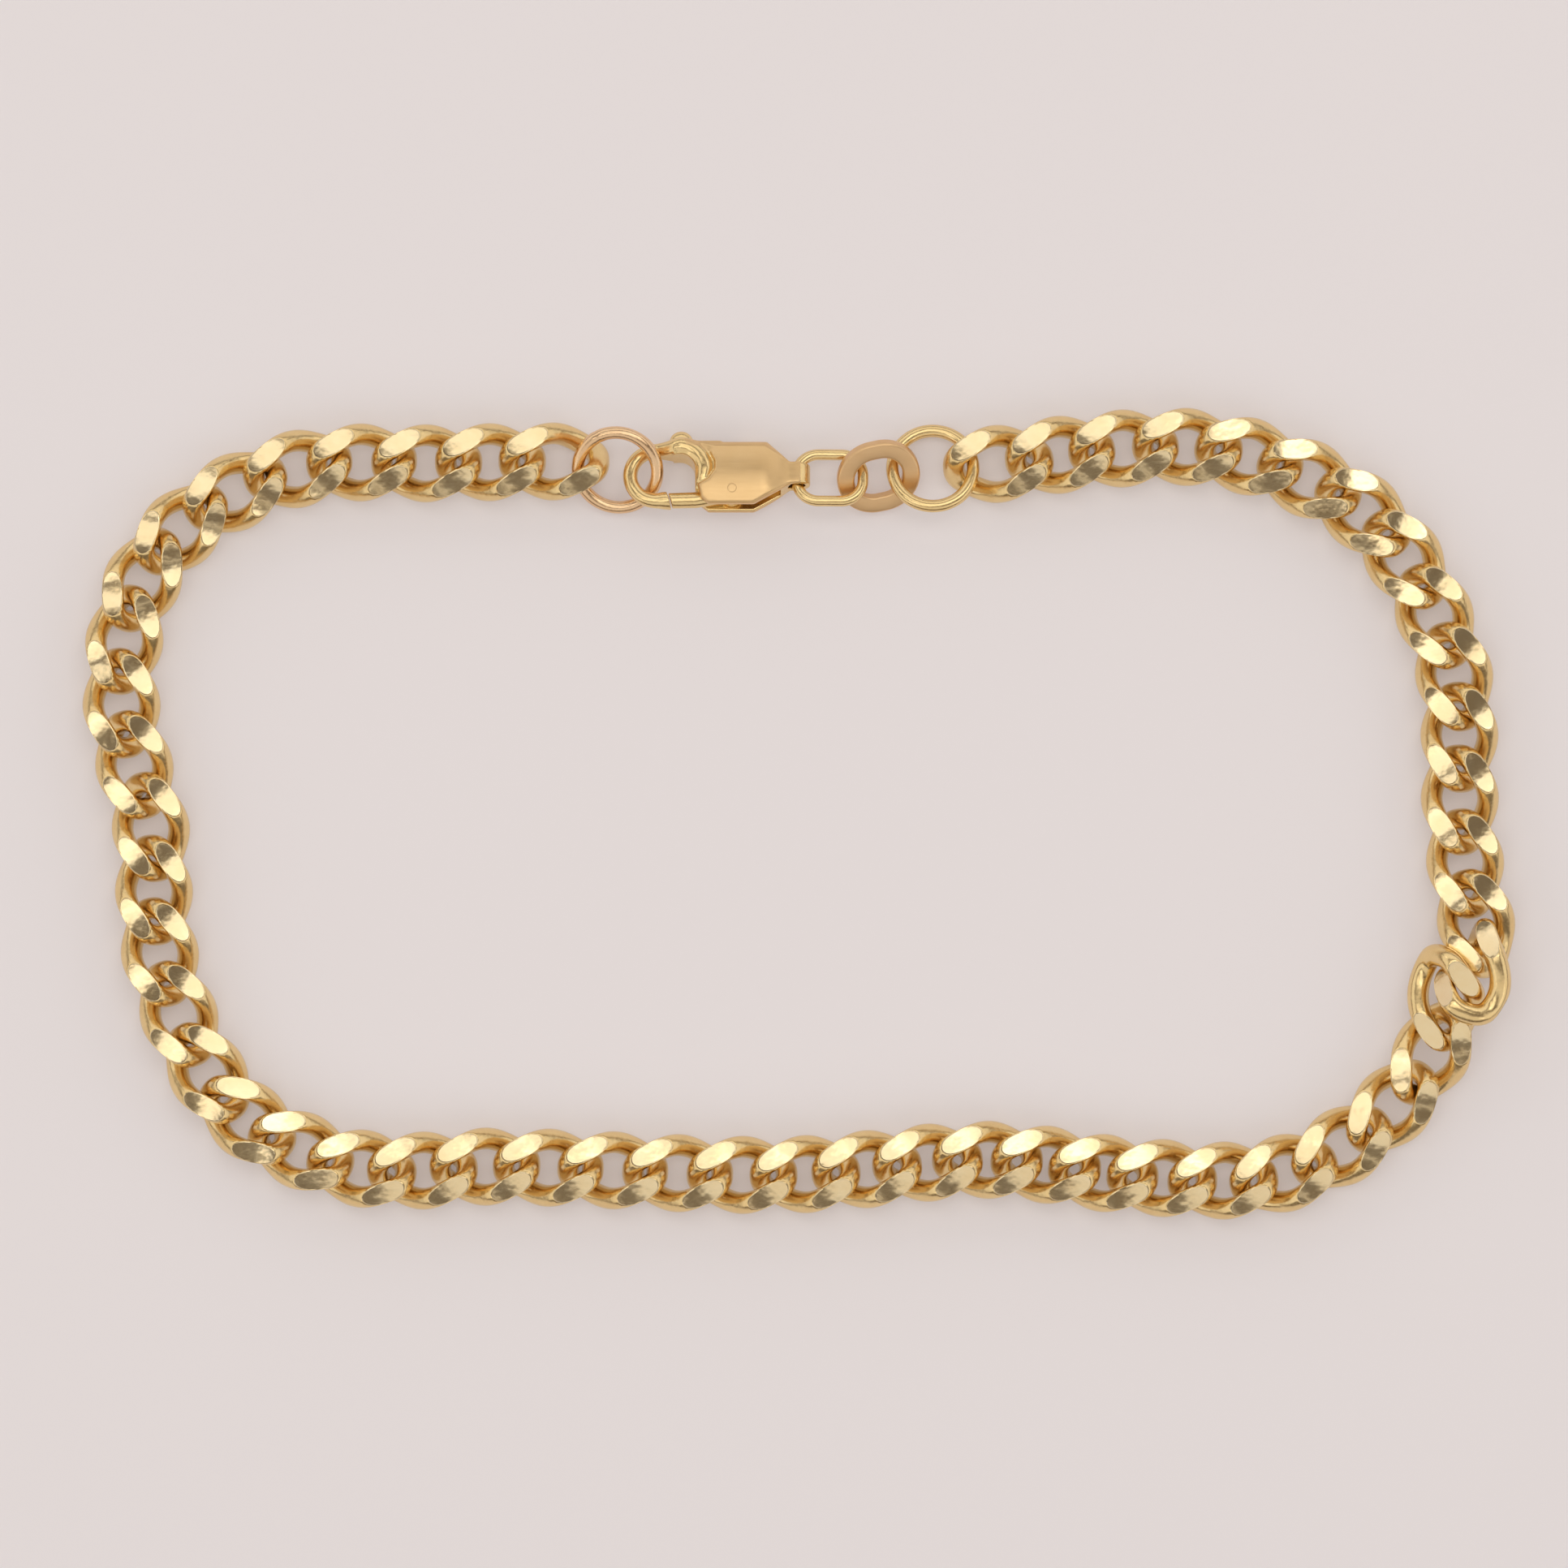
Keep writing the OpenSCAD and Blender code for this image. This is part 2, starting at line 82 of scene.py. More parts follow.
def evenly_spaced(points, count):
    """count points at even steps along a closed line."""
    line = np.array(points + points[:1])
    run = np.concatenate([[0], np.cumsum(np.linalg.norm(np.diff(line, axis=0), axis=1))])
    at = np.linspace(0, run[-1], count, endpoint=False)
    return [Vector(p) for p in np.stack([np.interp(at, run, line[:, k]) for k in range(3)], axis=1)]


def swept(bm, middles, outline, closed=True, up=None):
    """Sweeps an outline along a line. outline(i) gives the section's points beside and above it."""
    count = len(middles)
    rings = []
    for i, middle in enumerate(middles):
        ahead = middles[(i + 1) % count] if closed else middles[min(i + 1, count - 1)]
        behind = middles[i - 1] if closed else middles[max(i - 1, 0)]
        along = (ahead - behind).normalized()
        rise = up or Vector((0, 0, 1))
        side = rise.cross(along).normalized()
        rise = along.cross(side)
        rings.append([bm.verts.new(middle + a * side + b * rise) for a, b in outline(i)])
    size = len(rings[0])
    for i in range(count if closed else count - 1):
        for j in range(size):
            here, there = rings[i], rings[(i + 1) % count]
            bm.faces.new((here[j], here[(j + 1) % size], there[(j + 1) % size], there[j]))
    if not closed:
        bm.faces.new(rings[0])
        bm.faces.new(rings[-1])
    bmesh.ops.recalc_face_normals(bm, faces=bm.faces)
    return rings


def round_wire(radius, sides, height=None):
    """Section of a wire. height is its half height where that isn't its radius."""
    height = height or radius
    return [(radius * math.cos(a), height * math.sin(a))
            for a in (math.tau * j / sides for j in range(sides))]


def new_piece(name, bm):
    """Smooth shaded object of a bmesh, at the origin."""
    mesh = bpy.data.meshes.new(name)
    bm.to_mesh(mesh)
    bm.free()
    mesh.polygons.foreach_set("use_smooth", [True] * len(mesh.polygons))
    piece = bpy.data.objects.new(name, mesh)
    bpy.context.scene.collection.objects.link(piece)
    return piece


bm = bmesh.new()
whole_turn = [link_middle(math.tau * i / 1440) for i in range(1440)]
swept(bm, evenly_spaced(whole_turn, link_sections),
      lambda i: round_wire(link_wire / 2, wire_sides, wire_height / 2))
cut_layer = bm.faces.layers.int.new("cut")
along_flat = bm.verts.layers.float.new("along_flat")
for face_side, bar_side in ((1, 1), (1, -1), (-1, 1), (-1, -1)):
    out = Vector((0, bar_side * math.sin(flat_lean), face_side * math.cos(flat_lean)))
    cut = bmesh.ops.bisect_plane(
        bm, geom=bm.verts[:] + bm.edges[:] + bm.faces[:], dist=1e-7, clear_outer=True,
        plane_co=Vector((0, bar_side * link_width / 4, face_side * flat_height)), plane_no=out)
    rim = [e for e in cut["geom_cut"] if isinstance(e, bmesh.types.BMEdge)]
    flats = bmesh.ops.edgeloop_fill(bm, edges=rim)["faces"]
    for flat in flats:
        if flat.normal.dot(out) < 0:
            flat.normal_flip()
        flat[cut_layer] = 1
    bmesh.ops.inset_region(bm, faces=flats, thickness=flat_rim, use_even_offset=True)
    corners = [vert for flat in flats for vert in flat.verts]
    middle = sum((vert.co for vert in corners), Vector()) / len(corners)
    along = Vector((math.cos(flat_turn), face_side * math.sin(flat_turn), 0))
    for vert in corners:
        vert[along_flat] = (vert.co - middle).dot(along)
link = new_piece("curb_link", bm)
for polygon, is_cut in zip(link.data.polygons, link.data.attributes["cut"].data):
    polygon.use_smooth = not is_cut.value


def noise_node(nodes, links, place, scale, detail, stretch=(1, 1, 1)):
    """Noise in the piece's own coordinates, stretched along its axes."""
    mapping = nodes.new("ShaderNodeMapping")
    mapping.inputs["Scale"].default_value = stretch
    links.new(place, mapping.inputs["Vector"])
    noise = nodes.new("ShaderNodeTexNoise")
    noise.inputs["Scale"].default_value = scale
    noise.inputs["Detail"].default_value = detail
    links.new(mapping.outputs["Vector"], noise.inputs["Vector"])
    return noise.outputs["Fac"]


def gold(name, bright, deep, smooth, rough, swell, swell_size, grain, grain_scale,
         grain_stretch=(1, 1, 1)):
    """Gold between two tints and two polishes. swell is the slow unevenness that hand polishing
    leaves and grain the fine lines of the last wheel or brush, both as heights in metres."""
    material = bpy.data.materials.new(name)
    material.use_nodes = True
    nodes, links = material.node_tree.nodes, material.node_tree.links
    shader = nodes["Principled BSDF"]
    shader.inputs["Metallic"].default_value = 1.0
    place = nodes.new("ShaderNodeTexCoord").outputs["Object"]
    slow = noise_node(nodes, links, place, 1 / swell_size, 2)
    fine = noise_node(nodes, links, place, grain_scale, 4, grain_stretch)
    tint = nodes.new("ShaderNodeMix")
    tint.data_type = "RGBA"
    tint.inputs["A"].default_value = (*bright, 1)
    tint.inputs["B"].default_value = (*deep, 1)
    links.new(slow, tint.inputs["Factor"])
    links.new(tint.outputs["Result"], shader.inputs["Base Color"])
    polish = nodes.new("ShaderNodeMapRange")
    polish.inputs["From Min"].default_value = 0.3
    polish.inputs["From Max"].default_value = 0.7
    polish.inputs["To Min"].default_value = smooth
    polish.inputs["To Max"].default_value = rough
    links.new(fine, polish.inputs["Value"])
    links.new(polish.outputs["Result"], shader.inputs["Roughness"])
    wave = nodes.new("ShaderNodeBump")
    wave.name = "wave"
    wave.inputs["Distance"].default_value = swell
    links.new(slow, wave.inputs["Height"])
    lines = nodes.new("ShaderNodeBump")
    lines.inputs["Distance"].default_value = grain
    links.new(fine, lines.inputs["Height"])
    links.new(wave.outputs["Normal"], lines.inputs["Normal"])
    links.new(lines.outputs["Normal"], shader.inputs["Normal"])
    return material


def hollowed(material, curve):
    """Gold of flats cut a little hollow, as a round cutter leaves them: they rise with the square
    of the distance from their middle."""
    nodes, links = material.node_tree.nodes, material.node_tree.links
    own = nodes.new("ShaderNodeAttribute")
    own.attribute_name = "along_flat"
    last = own.outputs["Fac"]
    for step, value in (("POWER", 2), ("MULTIPLY", curve)):
        maths = nodes.new("ShaderNodeMath")
        maths.operation = step
        maths.inputs[1].default_value = value
        links.new(last, maths.inputs[0])
        last = maths.outputs["Value"]
    bowl = nodes.new("ShaderNodeBump")
    bowl.inputs["Distance"].default_value = 1
    links.new(last, bowl.inputs["Height"])
    links.new(bowl.outputs["Normal"], nodes["wave"].inputs["Normal"])
    return material


wire_gold = gold("polished wire gold", (0.93, 0.72, 0.37), (0.83, 0.59, 0.27), 0.17, 0.27,
                 0.03 * MM, 0.9 * MM, 0.0006 * MM, 9000)
flat_gold = gold("diamond cut gold", (0.97, 0.82, 0.53), (0.91, 0.69, 0.37), 0.12, 0.17,
                 0.025 * MM, 0.9 * MM, 0.0004 * MM, 6000, (1, 3, 1))
flat_curve = 70
cut_gold = hollowed(flat_gold, flat_curve)


def link_places(node):
    """Middle and turn of every link in a chain's solids: a link is longest along its x and
    thinnest along its z, and looks the same after half a turn about either."""
    bm = bmesh.new()
    bm.from_mesh(frame["nodes"][node].data)
    bmesh.ops.remove_doubles(bm, verts=bm.verts, dist=1e-7)
    left, places = set(bm.verts), []
    while left:
        todo = [next(iter(left))]
        corners = set(todo)
        while todo:
            for edge in todo.pop().link_edges:
                for vert in edge.verts:
                    if vert not in corners:
                        corners.add(vert)
                        todo.append(vert)
        left -= corners
        points = np.array([v.co for v in corners])
        middle = points.mean(axis=0)
        _, axes = np.linalg.eigh(np.cov((points - middle).T))
        long, cross = Vector(axes[:, 2]), Vector(axes[:, 1])
        turn = Matrix((long, cross, long.cross(cross))).transposed()
        places.append((Vector(middle), turn))
    bm.free()
    return sorted(places, key=lambda place: tuple(place[0]))


def chain_tree():
    """Links on their places, each swayed a little about its own length as loose links lie."""
    tree = bpy.data.node_groups.new("links on their places", "GeometryNodeTree")
    tree.is_modifier = True
    socket = tree.interface.new_socket
    socket("Places", in_out="INPUT", socket_type="NodeSocketGeometry")
    sockets = {
        "Link": socket("Link", in_out="INPUT", socket_type="NodeSocketObject"),
        "Sway": socket("Sway", in_out="INPUT", socket_type="NodeSocketFloat"),
        "Seed": socket("Seed", in_out="INPUT", socket_type="NodeSocketInt"),
        "Wire": socket("Wire", in_out="INPUT", socket_type="NodeSocketMaterial"),
        "Flats": socket("Flats", in_out="INPUT", socket_type="NodeSocketMaterial"),
    }
    socket("Chain", in_out="OUTPUT", socket_type="NodeSocketGeometry")
    nodes, links = tree.nodes, tree.links
    given = nodes.new("NodeGroupInput")
    shape = nodes.new("GeometryNodeObjectInfo")
    links.new(given.outputs["Link"], shape.inputs["Object"])
    turn = nodes.new("GeometryNodeInputNamedAttribute")
    turn.data_type = "FLOAT_VECTOR"
    turn.inputs["Name"].default_value = "turn"
    laid = nodes.new("FunctionNodeEulerToRotation")
    links.new(turn.outputs["Attribute"], laid.inputs["Euler"])
    least = nodes.new("ShaderNodeMath")
    least.operation = "MULTIPLY"
    least.inputs[1].default_value = -1
    links.new(given.outputs["Sway"], least.inputs[0])
    chance = nodes.new("FunctionNodeRandomValue")
    chance.data_type = "FLOAT"
    links.new(least.outputs["Value"], chance.inputs[2])
    links.new(given.outputs["Sway"], chance.inputs[3])
    links.new(given.outputs["Seed"], chance.inputs["Seed"])
    about = nodes.new("ShaderNodeCombineXYZ")
    links.new(chance.outputs[1], about.inputs["X"])
    sway = nodes.new("FunctionNodeEulerToRotation")
    links.new(about.outputs["Vector"], sway.inputs["Euler"])
    both = nodes.new("FunctionNodeRotateRotation")
    both.rotation_space = "LOCAL"
    links.new(laid.outputs["Rotation"], both.inputs["Rotation"])
    links.new(sway.outputs["Rotation"], both.inputs["Rotate By"])
    placed = nodes.new("GeometryNodeInstanceOnPoints")
    links.new(given.outputs["Places"], placed.inputs["Points"])
    links.new(shape.outputs["Geometry"], placed.inputs["Instance"])
    links.new(both.outputs["Rotation"], placed.inputs["Rotation"])
    real = nodes.new("GeometryNodeRealizeInstances")
    links.new(placed.outputs["Instances"], real.inputs["Geometry"])
    wire = nodes.new("GeometryNodeSetMaterial")
    links.new(real.outputs["Geometry"], wire.inputs["Geometry"])
    links.new(given.outputs["Wire"], wire.inputs["Material"])
    is_cut = nodes.new("GeometryNodeInputNamedAttribute")
    is_cut.data_type = "INT"
    is_cut.inputs["Name"].default_value = "cut"
    flats = nodes.new("GeometryNodeSetMaterial")
    links.new(wire.outputs["Geometry"], flats.inputs["Geometry"])
    links.new(is_cut.outputs["Attribute"], flats.inputs["Selection"])
    links.new(given.outputs["Flats"], flats.inputs["Material"])
    links.new(flats.outputs["Geometry"], nodes.new("NodeGroupOutput").inputs["Chain"])
    return tree, {name: item.identifier for name, item in sockets.items()}


links_tree, link_inputs = chain_tree()
for name, seed in (("left_chain", 3), ("right_chain", 8)):
    places = link_places(name)
    spots = bpy.data.meshes.new(name + "_places")
    spots.from_pydata([middle for middle, turn in places], [], [])
    turns = spots.attributes.new("turn", "FLOAT_VECTOR", "POINT")
    for at, (middle, turn) in zip(turns.data, places):
        at.vector = turn.to_euler()
    holder = bpy.data.objects.new(name + "_places", spots)
    bpy.context.scene.collection.objects.link(holder)
    modifier = holder.modifiers.new("links", "NODES")
    modifier.node_group = links_tree
    modifier[link_inputs["Link"]] = link
    modifier[link_inputs["Sway"]] = link_sway
    modifier[link_inputs["Seed"]] = seed
    modifier[link_inputs["Wire"]] = wire_gold
    modifier[link_inputs["Flats"]] = cut_gold
    evaluated = holder.evaluated_get(bpy.context.evaluated_depsgraph_get())
    mesh = bpy.data.meshes.new_from_object(evaluated)
    piece = bpy.data.objects.new(name + "_links", mesh)
    bpy.context.scene.collection.objects.link(piece)
    bpy.data.objects.remove(holder)
    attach(piece, "bracelet")
    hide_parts(name)
bpy.data.objects.remove(link)

# The left jump ring
# A round ring of slightly redder wire, cut from a coil, closed and soldered. The claw of the
# clasp hooks into it and it holds the first link of the chain.
jump_wire = 0.7 * MM
jump_sections = 120
seam_dip = 0.06
seam_swell = 0.03


def lying(node):
    """Where a CAD ring lies: its middle and its long, cross and thin directions."""
    mesh = frame["nodes"][node].data
    mesh.calc_loop_triangles()
    corners = np.array([[mesh.vertices[i].co for i in face.vertices]
                        for face in mesh.loop_triangles])
    weight = np.linalg.norm(np.cross(corners[:, 1] - corners[:, 0], corners[:, 2] - corners[:, 0]),
                            axis=1)
    points = corners.mean(axis=1)
    middle = np.average(points, axis=0, weights=weight)
    _, axes = np.linalg.eigh(np.cov((points - middle).T, aweights=weight))
    thin = Vector(axes[:, 0])
    thin = thin if thin.z > 0 else -thin
    long = Vector(axes[:, 2])
    long = long if long.x > 0 else -long
    return Matrix((*((*long, 0), (*thin.cross(long), 0), (*thin, 0)), (*middle, 1))).transposed()


def jump_ring(name, node, material, join_at):
    """A jump ring over its CAD ring, with the fine seam of its soldered join."""
    low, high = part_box(node)
    at = lying(node)
    side = at.to_3x3() @ Vector((0, 0, 1))
    level = Vector((1, 0, 0))
    level = (level - level.dot(side) * side).normalized()
    at = Matrix(((*level, 0), (*side.cross(level), 0), (*side, 0),
                 (*at.translation, 1))).transposed()
    reach = (high.x - low.x - jump_wire) / 2 / math.sqrt(1 - side.x ** 2)
    angles = [math.tau * i / jump_sections for i in range(jump_sections)]
    seam = math.tau / jump_sections

    def outline(i):
        """The wire's section, with a fine groove at the join and its rounded lips."""
        away = abs((angles[i] - join_at + math.pi) % math.tau - math.pi)
        dip = seam_dip * math.exp(-(away / seam) ** 2)
        swell = seam_swell * math.exp(-(away / (3 * seam)) ** 2)
        return round_wire(jump_wire / 2 * (1 - dip + swell), 24)

    bm = bmesh.new()
    swept(bm, [at @ Vector((reach * math.cos(a), reach * math.sin(a), 0)) for a in angles],
          outline, up=side)
    ring = new_piece(name, bm)
    ring.data.materials.append(material)
    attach(ring, "bracelet")
    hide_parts(node)
    return ring


rose_gold = gold("rosy wire gold", (0.93, 0.68, 0.42), (0.84, 0.54, 0.30), 0.18, 0.28,
                 0.02 * MM, 0.8 * MM, 0.0006 * MM, 7000)
jump_ring("left_jump_ring_wire", "left_jump_ring", rose_gold, math.radians(120))

# The clasp's body
# A lever clasp cast in one piece, tumbled and polished, its two faces brushed to a satin. Its
# claw is a thick wire that runs on round the mouth as a raised rim, it is slotted through for
# the lever, and its narrow end is drilled across for a ring.
hinge = frame["joints"][0]
# In this section and the next two, sizes and places are in millimetres, with x along the clasp
# from the bend of its claw, y across it and z up through it
pin_place = (6.0, -1.05)
clasp_up = -Vector(hinge["axis"])
clasp_along = Vector((1, 0, 0))
clasp_across = clasp_up.cross(clasp_along)
clasp_start = (Vector(hinge["pos_m"]) - pin_place[0] * MM * clasp_along
               - pin_place[1] * MM * clasp_across)
in_clasp = Matrix(((*clasp_along, 0), (*clasp_across, 0), (*clasp_up, 0),
                   (*clasp_start, 1))).transposed()
face_edge = [(3.4, 1.85), (7.95, 1.85), (9.2, 0.6), (9.75, 0.6), (9.75, -0.6), (9.25, -0.6),
             (8.6, -1.05), (7.2, -1.85), (4.7, -1.85), (4.3, -1.5), (4.15, -0.8), (4.7, -0.45),
             (5.05, 0.1), (5.05, 0.6), (4.75, 1.1), (4.2, 1.42), (3.5, 1.5)]
mouth_middle = (3.13, 0.2)
mouth_corner = 0.85
claw_radius = 1.45
claw_half = 0.4
claw_tall = 0.42
rim_half = 0.5
rim_tall = 1.08
web_tall = 0.82
slot_half = 0.5
body_half_width = 1.85
middle_half_height = 1.15
edge_half_height = 0.9
neck_half_height = 0.72
brushed_above = 0.55
eye_at = 9.55
eye_radius = 0.47
eye_wall = 0.28
neck_half = 0.6
slot_edge = [(3.6, -3), (8.65, -3), (8.65, -0.6), (6.74, -0.6), (6.74, -0.43), (6.33, 1.5),
             (5.93, 3), (2.46, 3), (2.46, 1.19), (3.2, 1.19), (4.4, 0.75), (4.4, -0.05),
             (3.6, -0.05)]


def eased(t):
    """0 to 1 with a soft start and a soft end."""
    t = np.clip(t, 0, 1)
    return t * t * (3 - 2 * t)


def arc(middle, radius, start, end, steps):
    """Points along an arc from one angle to another, in degrees, with both ends."""
    return [(middle[0] + radius * math.cos(a), middle[1] + radius * math.sin(a))
            for a in (math.radians(start + (end - start) * i / steps) for i in range(steps + 1))]


def to_outline(x, y, corners):
    """Distance of points of the plane to an outline, negative inside it."""
    nearest = np.full(np.broadcast(x, y).shape, np.inf)
    inside = np.zeros(nearest.shape, bool)
    for (ax, ay), (bx, by) in zip(corners, corners[1:] + corners[:1]):
        share = ((x - ax) * (bx - ax) + (y - ay) * (by - ay)) / ((bx - ax) ** 2 + (by - ay) ** 2)
        share = np.clip(share, 0, 1)
        nearest = np.minimum(nearest, np.hypot(x - ax - share * (bx - ax),
                                               y - ay - share * (by - ay)))
        if ay != by:
            crossing = (y < ay) != (y < by)
            inside ^= crossing & (x < ax + (y - ay) / (by - ay) * (bx - ax))
    return np.where(inside, -nearest, nearest)


def to_bar(x, y, z, line, sizes):
    """Distance to a bar along a line. Each point of the line has a half width and a half height,
    and the bar is rounded above and below by its half width."""
    nearest = np.full(np.broadcast(x, y).shape, np.inf)
    half = np.zeros(nearest.shape)
    tall = np.zeros(nearest.shape)
    for (ax, ay), (bx, by), first, last in zip(line, line[1:], sizes, sizes[1:]):
        share = ((x - ax) * (bx - ax) + (y - ay) * (by - ay)) / ((bx - ax) ** 2 + (by - ay) ** 2)
        share = np.clip(share, 0, 1)
        away = np.hypot(x - ax - share * (bx - ax), y - ay - share * (by - ay))
        closer = away < nearest
        nearest = np.where(closer, away, nearest)
        half = np.where(closer, first[0] + share * (last[0] - first[0]), half)
        tall = np.where(closer, first[1] + share * (last[1] - first[1]), tall)
    return np.hypot(nearest, np.maximum(np.abs(z) - np.maximum(tall - half, 0), 0)) - half


def joined(a, b, soft):
    """Both forms together, with a fillet where they meet."""
    mix = np.clip(0.5 + 0.5 * (b - a) / soft, 0, 1)
    return b + (a - b) * mix - soft * mix * (1 - mix)


def shared(a, b, soft):
    """What two forms have in common, its edges rounded."""
    return -joined(-a, -b, soft)


def cast(name, form, low, high, step, passes=3):
    """Closed mesh of a form given as a function of millimetres in the clasp's own directions,
    negative inside, lightly smoothed as tumbling leaves a casting."""
    axes = [np.arange(start, end + step, step) for start, end in zip(low, high)]
    field = form(*np.meshgrid(*axes, indexing="ij", sparse=True))
    field = np.broadcast_to(field, [len(axis) for axis in axes])
    cells = [size - 1 for size in field.shape]
    corners, keys, quads = [], [], []
    for axis in range(3):
        beside, above = (axis + 1) % 3, (axis + 2) % 3
        here = np.delete(field, -1, axis)
        there = np.delete(field, 0, axis)
        at = np.argwhere((here < 0) != (there < 0))
        start, end = here[tuple(at.T)], there[tuple(at.T)]
        point = at.astype(float)
        point[:, axis] += start / (start - end)
        ring = []
        for over, up in ((-1, -1), (0, -1), (0, 0), (-1, 0)):
            cell = at.copy()
            cell[:, beside] += over
            cell[:, above] += up
            ring.append(np.ravel_multi_index(cell.T, cells))
            keys.append(ring[-1])
            corners.append(point)
        ring = np.stack(ring, axis=1)
        quads.append(np.where((start < 0)[:, None], ring, ring[:, ::-1]))
    used, index = np.unique(np.concatenate(keys), return_inverse=True)
    total = np.zeros((len(used), 3))
    np.add.at(total, index, np.concatenate(corners))
    points = total / np.bincount(index)[:, None] * step + np.array(low)
    mesh = bpy.data.meshes.new(name)
    mesh.from_pydata((points * MM).tolist(), [],
                     np.searchsorted(used, np.concatenate(quads)).tolist())
    bm = bmesh.new()
    bm.from_mesh(mesh)
    for _ in range(passes):
        bmesh.ops.smooth_vert(bm, verts=bm.verts, factor=0.5, use_axis_x=True, use_axis_y=True,
                              use_axis_z=True)
    bpy.data.meshes.remove(mesh)
    bm.transform(in_clasp)
    return new_piece(name, bm)


def face_height(x, y):
    """Half thickness of the body: crowned across, and falling from the shoulder to the neck."""
    crown = middle_half_height - edge_half_height
    crowned = middle_half_height - crown * (y / body_half_width) ** 2
    return crowned + (neck_half_height - crowned) * eased((x - 7.5) / 1.75)


def claw_tip(x, y):
    """Distance past the slanting end of the claw, which the gate closes against."""
    return 0.96 * (x - 2.2 - 0.275 * (-0.25 - y))


def body_form(x, y, z):
    """The casting: the flat body with its web and claw, slotted and drilled."""
    edge_soft = 0.14 + 0.5 * eased((y - 0.6) / 1.2)
    body = shared(to_outline(x, y, face_edge), np.abs(z) - face_height(x, y), edge_soft)
    web = [(2.8, 1.8), (2.8, 1.0)] + arc(mouth_middle, mouth_corner, 90, 0, 12)
    web += [(3.98, -1), (4.8, -1.2), (5.4, -0.6), (5.4, 1.8)]
    form = joined(body, shared(to_outline(x, y, web), np.abs(z) - web_tall, 0.1), 0.12)
    bend = arc((1.85, 0), claw_radius, 270, 90, 40)
    corner = arc(mouth_middle, mouth_corner + rim_half, 90, 0, 20)
    rim = bend + [(2.3, 1.46), (2.75, 1.5)] + corner + [(4.4, -0.3), (4.22, -0.9)]
    sizes = [(claw_half, claw_tall)] * len(bend) + [(0.42, 0.66), (0.45, 0.95)]
    sizes += [(rim_half, rim_tall)] * len(corner) + [(0.4, 1.05), (0.2, 0.9)]
    form = joined(form, to_bar(x, y, z, rim, sizes), 0.1)
    arm = to_bar(x, y, z, [(1.85, -claw_radius), (2.2, -1.43), (2.9, -1.43)],
                 [(claw_half, claw_tall), (0.48, 0.5), (0.52, 0.6)])
    form = joined(form, np.maximum(arm, claw_tip(x, y)), 0.04)
    barrel = np.hypot(x - eye_at, z) - eye_radius - eye_wall
    form = joined(form, shared(barrel, np.abs(y) - neck_half, 0.08), 0.1)
    slot = shared(to_outline(x, y, slot_edge), np.abs(z) - slot_half, 0.05)
    form = shared(form, -slot, 0.05)
    return shared(form, eye_radius - np.hypot(x - eye_at, z), 0.05)


clasp = cast("clasp_body_casting", body_form, (-0.2, -2.1, -1.35), (10.5, 2.1, 1.35), 0.05)
satin_gold = gold("satin brushed gold", (0.85, 0.60, 0.31), (0.77, 0.51, 0.24), 0.3, 0.4,
                  0.01 * MM, 1.5 * MM, 0.002 * MM, 9000, (0.06, 1, 1))
clasp.data.materials.append(satin_gold)
clasp.data.materials.append(wire_gold)
to_clasp = in_clasp.inverted()
for polygon in clasp.data.polygons:
    x, y, z = to_clasp @ polygon.center / MM
    on_face = to_outline(x, y, face_edge) < 0.02 and abs(z) > brushed_above
    polygon.material_index = 0 if on_face else 1
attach(clasp, "bracelet")
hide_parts("clasp_body")

# The clasp's lever
# One small casting: a gate rounded like the claw that it meets, a hub on the pin and a stem
# with a domed thumb knob. A hidden spring presses the gate shut.
elbow_at = (5.2, 0.95)
knob_at = (3.2, 1.93)
knob_radius = 0.66
knob_tall = 0.44
hub_radius = 0.62
hub_tall = 0.4
bore_radius = 0.3
stem_size = (0.27, 0.38)
gate_line = [(2.3, -1.45), (4.0, -1.4), (6.0, -1.05)]


def lever_form(x, y, z):
    """The lever shut: its gate, whose slanting end meets the claw, its stem, hub and knob."""
    gate = to_bar(x, y, z, gate_line, [(0.42, 0.45), (0.44, 0.45), (0.44, 0.42)])
    gate = np.maximum(gate, 0.955 * (2.5 + 0.314 * (-1.1 - y) - x))
    stem = to_bar(x, y, z, [pin_place, elbow_at, knob_at], [stem_size] * 3)
    pin_away = np.hypot(x - pin_place[0], y - pin_place[1])
    hub = shared(pin_away - hub_radius, np.abs(z) - hub_tall, 0.06)
    knob_away = np.hypot(x - knob_at[0], y - knob_at[1])
    knob = (np.hypot(knob_away / knob_radius, z / knob_tall) - 1) * knob_tall
    lever = joined(joined(joined(gate, hub, 0.08), stem, 0.08), knob, 0.06)
    return np.maximum(lever, bore_radius - pin_away)


lever = cast("clasp_lever_casting", lever_form, (2.2, -2.1, -0.6), (7.0, 2.8, 0.6), 0.04)
lever.data.materials.append(wire_gold)
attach(lever, "lever")
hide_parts("clasp_lever")

